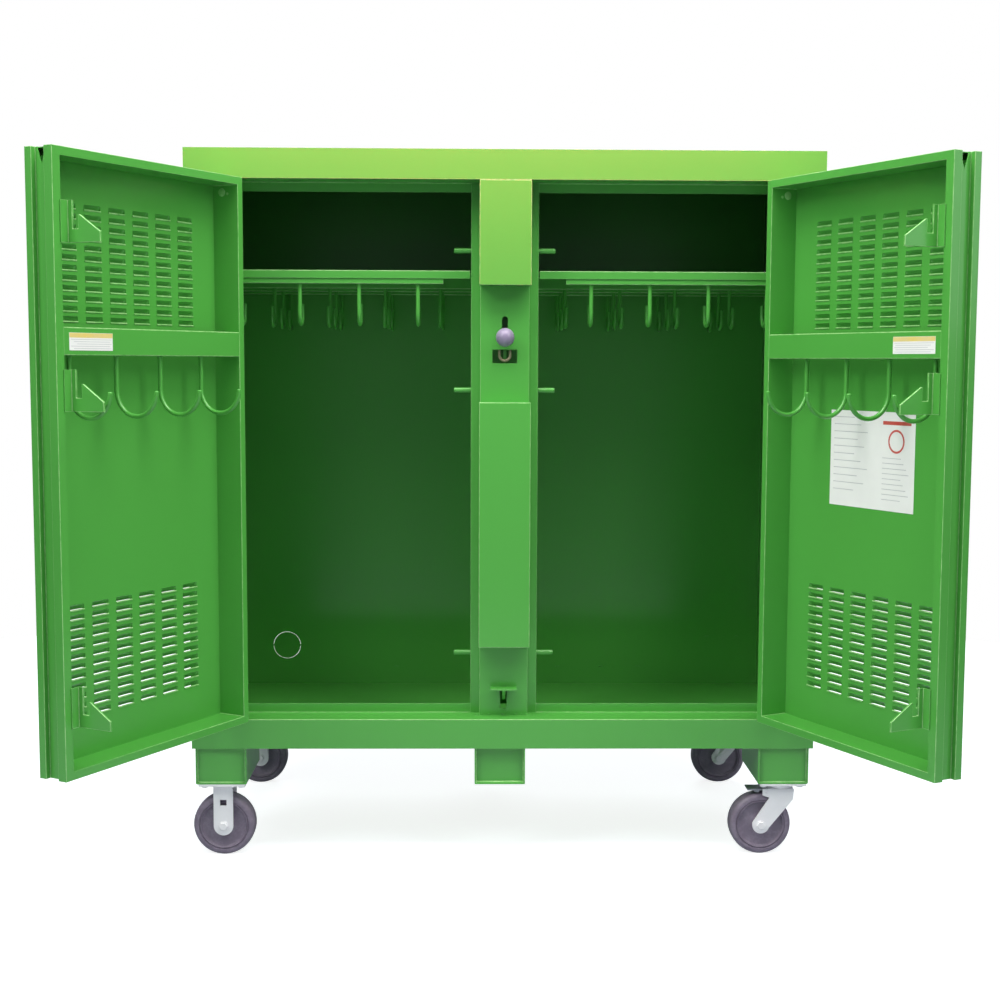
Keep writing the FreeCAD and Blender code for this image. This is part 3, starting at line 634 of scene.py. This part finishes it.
KNOB_R = 22.5
KNOB_NECK = 20.6             # the ball stops here and the stem collar begins
KNOB_CENTRE = (0, 22, 1279)
bm = bmesh.new()
ball = [(0.0, -KNOB_R)]
for k in range(1, 30):
    angle = math.pi * k / 30
    radius = KNOB_R * math.sin(angle)
    height = -KNOB_R * math.cos(angle)
    if height > KNOB_NECK:
        break
    ball.append((radius, height))
ball += [(8.6, 21.0), (7.6, 22.2), (7.2, 24.5), (6.0, 25.0), (0.0, 25.0)]
knob_place = CABINET @ Matrix.Translation(KNOB_CENTRE) @ Matrix.Rotation(math.radians(-90), 4, "X")
lathe(bm, ball, knob_place, 48)
finish_piece(fix_normals(bm), "lock_knob_ball", [KNOB], "lock_bar", ["lock_knob"], 50.0)

STAPLE_R, STAPLE_Y, STAPLE_Z = 13, 58.5, 1236
bm = bmesh.new()
arc = [at(-STAPLE_R * math.cos(a), STAPLE_Y, STAPLE_Z - STAPLE_R * math.sin(a))
       for a in [math.pi * k / 16 for k in range(17)]]
ends = [at(x, STAPLE_Y, STAPLE_Z + 14) for x in (-STAPLE_R, STAPLE_R)]
rounded_bar(bm, [ends[0], *arc, ends[1]], 3.5 * MM)
finish_piece(fix_normals(bm), "padlock_staple_bent", [BRASS], "cabinet", ["padlock_staple"])

# ======================= casters =======================
CASTER_X = 691               # fork or swivel axis of the four casters, left and right
CASTER_Y = (54, 708)
SWIVEL_WHEEL_X = 641         # the swivel casters trail inwards
AXLE_Z = 76.2
AXLE_R = 6.35
# half of the wheel's section from bore to tread, as (radius, distance from the middle)
WHEEL_PROFILE = [
    (6.4, 25.4), (15.5, 25.4), (17, 25.0), (17.6, 24.0), (18.6, 20.6), (20, 19.6), (28, 17.6), (31, 17.0),
    (50, 18.6), (53.2, 19.6), (54.6, 21.2), (56.2, 24.6), (57.2, 25.4), (58.3, 25.4), (58.8, 24.8),
    (59.1, 22.6), (60.9, 22.6), (61.2, 24.8), (61.8, 25.4), (66, 25.4), (69.0, 24.8), (72.2, 22.8),
    (74.6, 19.4), (75.7, 15.0), (76.1, 8.0), (76.2, 0.0),
]
WORN_STEPS = (11, 12, 13, 17, 18, 20, 21)


def wheel(name, body, x, y):
    bm = bmesh.new()
    one_side = [(r, -h) for r, h in WHEEL_PROFILE]
    profile = one_side + [(r, h) for r, h in WHEEL_PROFILE[-2::-1]] + one_side[:1]
    place = CABINET @ Matrix.Translation((x, y, AXLE_Z)) @ Matrix.Rotation(math.radians(90), 4, "X")
    lathe(bm, profile, place, 96, highlight_and_wear=WORN_STEPS)
    bmesh.ops.remove_doubles(bm, verts=bm.verts, dist=1e-6)
    finish_piece(fix_normals(bm), name + "_moulded", [WHEEL], body, [name])


wheel("front_rigid_wheel", "front_rigid_wheel", -CASTER_X, CASTER_Y[0])
wheel("rear_rigid_wheel", "rear_rigid_wheel", -CASTER_X, CASTER_Y[1])
wheel("front_swivel_wheel", "front_swivel_wheel", SWIVEL_WHEEL_X, CASTER_Y[0])
wheel("rear_swivel_wheel", "rear_swivel_wheel", SWIVEL_WHEEL_X, CASTER_Y[1])


def axle_bolt(bm, x, y):
    """Axle with a hexagon head in front and a nut behind, outside the fork legs."""
    reach = 33.0
    shank = [at(x, y + step, AXLE_Z) for step in (-reach, 0, reach + 10)]
    rounded_bar(bm, shank, AXLE_R * MM, 20, 0.2)
    front = CABINET @ Matrix.Translation((x, y - reach, AXLE_Z)) @ Matrix.Rotation(math.radians(90), 4, "X")
    behind = CABINET @ Matrix.Translation((x, y + reach, AXLE_Z)) @ Matrix.Rotation(math.radians(-90), 4, "X")
    washer = [(6.4, 0), (11.6, 0), (12, 0.4), (12, 1.2), (11.6, 1.6), (6.4, 1.6)]
    lathe(bm, washer, front, 32)
    lathe(bm, washer, behind, 32)
    hexagon(bm, front @ Matrix.Translation((0, 0, 1.6)), 18, 5.5)
    hexagon(bm, behind @ Matrix.Translation((0, 0, 1.6)), 18, 7.5)


bm = bmesh.new()
for y in CASTER_Y:
    axle_bolt(bm, -CASTER_X, y)
finish_piece(fix_normals(bm), "rigid_caster_axles_bolted", [ZINC], "cabinet", ["rigid_caster_axles"])
for end, y in zip(("front", "rear"), CASTER_Y):
    bm = bmesh.new()
    axle_bolt(bm, SWIVEL_WHEEL_X, y)
    finish_piece(fix_normals(bm), f"{end}_swivel_axle_bolted", [ZINC], f"{end}_swivel",
                 [f"{end}_swivel_axle"])

BOLT_X, BOLT_Y = 45, 30      # caster bolts, from the middle of each top plate
PLATE_UNDER_Z, FOOT_FLOOR_Z = 180, 189
bolt_spots = [(x + i, y + j) for x in (-CASTER_X, CASTER_X) for y in CASTER_Y
              for i in (-BOLT_X, BOLT_X) for j in (-BOLT_Y, BOLT_Y)]
bm = bmesh.new()
for x, y in bolt_spots:
    down = CABINET @ Matrix.Translation((x, y, PLATE_UNDER_Z)) @ Matrix.Rotation(math.pi, 4, "X")
    up = CABINET @ Matrix.Translation((x, y, FOOT_FLOOR_Z))
    hexagon(bm, down, 16, 6.2)
    hexagon(bm, up, 16, 8.0)
    rounded_bar(bm, [at(x, y, z) for z in (179, 190, 201)], 5 * MM, 16, 0.2)
finish_piece(fix_normals(bm), "caster_bolts_hex", [ZINC], "cabinet", ["caster_bolts"])

# ======================= labels =======================
YELLOW_INK, GREY_INK, RED_INK = 1, 2, 3


def printed(side, name, node, e, paper, marks, ring=None):
    """A thin sheet on the door, printed with plain bars and, where asked, one plain ring.

    paper is (s0, s1, z0, z1); a mark adds its ink; a ring is (s, z, outer, inner, ink).
    """
    place = door_frame(side)
    bm = bmesh.new()

    def patch(s0, s1, z0, z1, height, look):
        corners = [(s0, z0), (s1, z0), (s1, z1), (s0, z1)]
        top = [bm.verts.new(place @ Vector((s, e + height, z))) for s, z in corners]
        low = [bm.verts.new(place @ Vector((s, e, z))) for s, z in corners]
        bm.faces.new(top).material_index = look
        bm.faces.new(low[::-1]).material_index = look
        for i in range(4):
            j = (i + 1) % 4
            bm.faces.new((top[i], low[i], low[j], top[j])).material_index = look

    patch(*paper, 0.4, 0)
    for s0, s1, z0, z1, look in marks:
        patch(s0, s1, z0, z1, 0.5, look)
    if ring is not None:
        s, z, outer, inner, look = ring
        steps = 48
        loops = []
        for radius in (outer, inner):
            turns = [2 * math.pi * k / steps for k in range(steps)]
            loops.append([bm.verts.new(place @ Vector((s + radius * math.cos(turn), e + 0.55,
                                                       z + radius * math.sin(turn)))) for turn in turns])
        for k in range(steps):
            j = (k + 1) % steps
            bm.faces.new((loops[0][k], loops[0][j], loops[1][j], loops[1][k])).material_index = look
    finish_piece(fix_normals(bm), name, [PAPER, YELLOW, GREY, RED], f"{side}_door", [node])


for side in ("left", "right"):
    lines = [(456 + 4 * (k % 2), 575 - 9 * (k % 3), 1262 - 4.6 * k, 1262.9 - 4.6 * k, GREY_INK)
             for k in range(5)]
    yellow_band = (452.5, 578.5, 1266, 1275.5, YELLOW_INK)
    printed(side, f"{side}_rail_label_print", f"{side}_door_rail_label", E1, (452, 579, 1240, 1276),
            [yellow_band] + lines)

grey_bars = []
for k in range(11):
    width = 70 + 45 * ((k * 7) % 5) / 4
    grey_bars.append((182, 182 + width, 1098 - 16.5 * k, 1099.6 - 16.5 * k, GREY_INK))
for k in range(9):
    width = 60 + 25 * ((k * 5) % 4) / 3
    grey_bars.append((347, 347 + width, 1012 - 11.5 * k, 1013.4 - 11.5 * k, GREY_INK))
red_bar = (347, 437, 1086, 1094, RED_INK)
red_ring = (391, 1050, 26, 21.5, RED_INK)
printed("right", "right_door_sheet_print", "right_door_document_sheet", E0 + 2.0, (170, 450, 896, 1114),
        [red_bar] + grey_bars, red_ring)

# ======================= welds =======================
bm = bmesh.new()
# foot of the post, the cover's lower edge, the jambs, the shelf rails and spots on the back wall
for x in (-59, 59):
    weld(bm, at(x - 12 if x < 0 else x, 49, 349.6), at(x if x < 0 else x + 12, 49, 349.6), 2.6 * MM)
for x0, x1 in ((-56, -50), (-38, -30), (-6, 2), (26, 34), (44, 50), (55, 62)):
    weld(bm, at(x0, 49.4, 350.2), at(x1, 49.4, 350.2), 2.6 * MM)
for x in (-82, 82):
    weld(bm, at(x, 81.6, 372), at(x * 0.86, 81.6, 373), 3.0 * MM)
for x in (-30, 0, 30):
    weld(bm, at(x - 3, 48.8, 1402), at(x + 3, 48.8, 1402), 1.8 * MM)
for x in (-686, 686):
    for z in (1600, 1300, 900, 500):
        weld(bm, at(x, 20, z - 12), at(x, 20, z + 12), 1.6 * MM)
for row_y, _, _ in HOOK_ROWS:
    for x in (-700, -400, 400, 700):
        weld(bm, at(x - 12, row_y - 12, 1437), at(x + 12, row_y - 12, 1437), 2.2 * MM)
for x, z in ((172, 330), (300, 330), (410, 330), (612, 420), (700, 420), (-300, 330), (-520, 330)):
    weld(bm, at(x - 5, 758.5, z), at(x + 5, 758.5, z), 1.8 * MM)
# paint closes most of the knock-out's cut line; a raised ring in the lighter edge colour paints a hairline of
# light along it
KNOCKOUT_CENTRE = (-620, 760.2, 392)
paint_ring = [(37.2, 0.0), (37.2, 1.0), (38.8, 1.0), (38.8, 0.0), (37.2, 0.0)]
where = CABINET @ Matrix.Translation(KNOCKOUT_CENTRE) @ Matrix.Rotation(math.radians(-90), 4, "X")
lathe(bm, paint_ring, where, 64, highlight_and_wear=range(4))
bmesh.ops.remove_doubles(bm, verts=bm.verts, dist=1e-7)
finish_piece(fix_normals(bm), "frame_welds", [GREEN], "cabinet", ())

for side in ("left", "right"):
    place = door_frame(side)
    bm = bmesh.new()
    for z in PIN_Z:
        for low, high in ((z - 34, z - 26), (z + 8, z + 14), (z + 42, z + 49)):
            weld(bm, (572.5, E1 + 1, low), (572.5, E1 + 1, high), 2.0 * MM, place)
            weld(bm, (595.5, E1 + 0.5, low), (595.5, E1 + 0.5, high), 1.8 * MM, place)
    for s in (22, 594):
        for z in (RAIL_Z[1], RAIL_Z[0]):
            weld(bm, (s, E1 - 2, z - 5), (s, E1 - 2, z + 1), 1.8 * MM, place)
    finish_piece(fix_normals(bm), f"{side}_door_welds", [GREEN], f"{side}_door", ())

# ======================= stage, light and camera =======================
floor_mesh = bpy.data.meshes.new("studio_floor")
bm = bmesh.new()
bmesh.ops.create_circle(bm, cap_ends=True, segments=96, radius=3.6)
bm.to_mesh(floor_mesh)
bm.free()
floor = bpy.data.objects.new("studio_floor", floor_mesh)
bpy.context.scene.collection.objects.link(floor)
floor_look, nodes, links, shader = material("studio_floor")
coords = nodes.new("ShaderNodeTexCoord").outputs["Object"]
tone = spread(nodes, links, noise(nodes, links, coords, 0.6, 2.0), 0.0, 1.0)
base = blend_colour(nodes, links, tone, (0.46, 0.50, 0.56), (0.48, 0.52, 0.58))
links.new(base, shader.inputs["Base Color"])
shader.inputs["Roughness"].default_value = 0.9
shader.inputs["Specular IOR Level"].default_value = 0.1
distance = nodes.new("ShaderNodeVectorMath")
distance.operation = "LENGTH"
links.new(coords, distance.inputs[0])
glow = spread(nodes, links, distance.outputs["Value"], 0.84, 1.0, 1.2, 3.0)
seen_directly = nodes.new("ShaderNodeMath")
seen_directly.operation = "MULTIPLY"
links.new(glow, seen_directly.inputs[0])
links.new(nodes.new("ShaderNodeLightPath").outputs["Is Camera Ray"], seen_directly.inputs[1])
shader.inputs["Emission Color"].default_value = (1.0, 1.0, 1.0, 1.0)
links.new(seen_directly.outputs["Value"], shader.inputs["Emission Strength"])
floor_mesh.materials.append(floor_look)
floor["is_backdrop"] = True

scene = bpy.context.scene
world = bpy.data.worlds.new("studio")
scene.world = world
world.use_nodes = True
tree = world.node_tree
tree.nodes.clear()
out = tree.nodes.new("ShaderNodeOutputWorld")
seen = tree.nodes.new("ShaderNodeBackground")
seen.inputs["Color"].default_value = (1.0, 1.0, 1.0, 1.0)
seen.inputs["Strength"].default_value = 1.0
sky = tree.nodes.new("ShaderNodeBackground")
sky.inputs["Color"].default_value = (0.80, 0.88, 1.0, 1.0)
sky.inputs["Strength"].default_value = 0.065
path = tree.nodes.new("ShaderNodeLightPath")
mix = tree.nodes.new("ShaderNodeMixShader")
tree.links.new(path.outputs["Is Camera Ray"], mix.inputs["Fac"])
tree.links.new(sky.outputs["Background"], mix.inputs[1])
tree.links.new(seen.outputs["Background"], mix.inputs[2])
tree.links.new(mix.outputs["Shader"], out.inputs["Surface"])


def softbox(name, place, target, size, power, colour=(1.0, 1.0, 1.0), spread_deg=180.0):
    light = bpy.data.lights.new(name, "AREA")
    light.shape = "RECTANGLE"
    light.size, light.size_y = size
    light.energy = power
    light.spread = math.radians(spread_deg)
    light.color = colour
    lamp = bpy.data.objects.new(name, light)
    scene.collection.objects.link(lamp)
    lamp.location = place
    lamp.rotation_euler = (Vector(target) - Vector(place)).to_track_quat("-Z", "Y").to_euler()
    return lamp


softbox("overhead_softbox", (0.0, -1.2, 4.0), (0.0, -0.6, 0.9), (3.6, 1.5), 176, (0.98, 0.92, 0.90))
softbox("left_key", (-2.9, -2.6, 3.9), (0.0, 0.0, 1.0), (1.8, 1.8), 86, (0.93, 0.96, 0.92))
softbox("right_key", (2.9, -2.6, 3.9), (0.0, 0.0, 1.0), (1.8, 1.8), 68, (0.94, 0.94, 0.92))
softbox("left_softbox", (-3.6, -2.6, 2.4), (0.7, -0.2, 1.0), (1.4, 1.8), 9, (0.90, 0.95, 0.95))
softbox("right_softbox", (3.2, -1.8, 2.2), (-0.7, -0.2, 1.0), (1.4, 1.8), 12, (0.91, 0.91, 1.0))
header_strip = softbox("header_strip", (0.0, -1.2, 2.3), (0.0, 0.0, 1.76), (1.8, 0.25), 9.0,
                       (1.0, 0.16, 0.14), 60.0)
front_fill = softbox("front_fill", (0.0, -5.2, 1.4), (0.0, 0.0, 1.0), (4.0, 2.4), 20, (0.90, 0.98, 0.98))
front_fill.visible_glossy = False
warm_pieces = bpy.data.collections.new("header_strip_receivers")
for name in ("header_beam_formed", "post_upper_cover_formed"):
    warm_pieces.objects.link(bpy.data.objects[name])
header_strip.light_linking.receiver_collection = warm_pieces
softbox("rear_softbox", (0.4, 4.2, 3.4), (0.0, 0.6, 0.8), (3.0, 2.4), 80)

camera_data = bpy.data.cameras.new("photo_camera")
camera = bpy.data.objects.new("photo_camera", camera_data)
scene.collection.objects.link(camera)
camera_data.sensor_width = 36.0
camera_data.lens = 55.13
camera_data.shift_y = 0.0099
camera_data.clip_end = 100.0
camera.location = at(-75.8, -3681.9, 1219.1)
PITCH, YAW, ROLL = math.radians(5.502), math.radians(1.007), math.radians(0.227)
camera.matrix_world = (Matrix.Translation(camera.location) @ Matrix.Rotation(-YAW, 4, "Z")
                       @ Matrix.Rotation(math.pi / 2 - PITCH, 4, "X") @ Matrix.Rotation(ROLL, 4, "Z"))
scene.camera = camera
scene.view_settings.view_transform = "Standard"

low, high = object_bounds()
